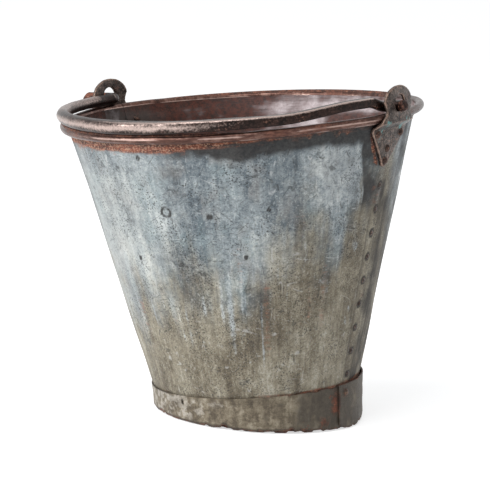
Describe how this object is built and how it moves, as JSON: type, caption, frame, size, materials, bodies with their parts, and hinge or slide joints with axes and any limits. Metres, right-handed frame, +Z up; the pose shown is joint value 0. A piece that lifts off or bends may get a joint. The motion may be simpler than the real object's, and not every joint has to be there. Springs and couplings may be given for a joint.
{
  "type": "metal bucket",
  "caption": "Tapered riveted galvanised bucket, rusted and dented, leaning on its worn foot band, with forged ears and a thick swinging bail folded down on the rim",
  "frame": {"origin": "on the floor under the middle of the bounding box", "axes": "+Z up; the hinge line through the ears lies nearly along X, the longest stub of the bail points to -X, and the bail rests on the -Y side of the rim; the body leans 7 degrees from +Z"},
  "size_m": [0.3356, 0.3053, 0.2894],
  "materials": {
    "sheet": "weathered zinc coat with rust under the rim",
    "wire": "rusted",
    "bottom": "dull zinc, rusted at the edge",
    "foot": "worn zinc, rusted lower edge",
    "ears": "dark forged, rusted edges",
    "bail": "dark forged, rubbed bright on top",
    "iron_rivets": "rusted",
    "zinc_rivets": "weathered zinc"
  },
  "bodies": {
    "bucket": {"front_sheet": "sheet", "back_sheet": "sheet", "rim_wire": "wire", "bottom_plate": "bottom", "foot_band": "foot", "ear_right": "ears", "ear_left": "ears", "ear_rivets_right": "iron_rivets", "ear_rivets_left": "iron_rivets", "seam_rivets_right": "zinc_rivets", "seam_rivets_left": "zinc_rivets", "foot_rivets": "iron_rivets"},
    "bail": {"bail": "bail"}
  },
  "joints": [
    {"name": "bail_swing", "type": "hinge", "parent": "bucket", "child": "bail", "pos_m": [0.01043, 0.0115, 0.25808], "axis": [-0.9933, 0.0644, -0.0962], "range_deg": [0, 165]}
  ]
}
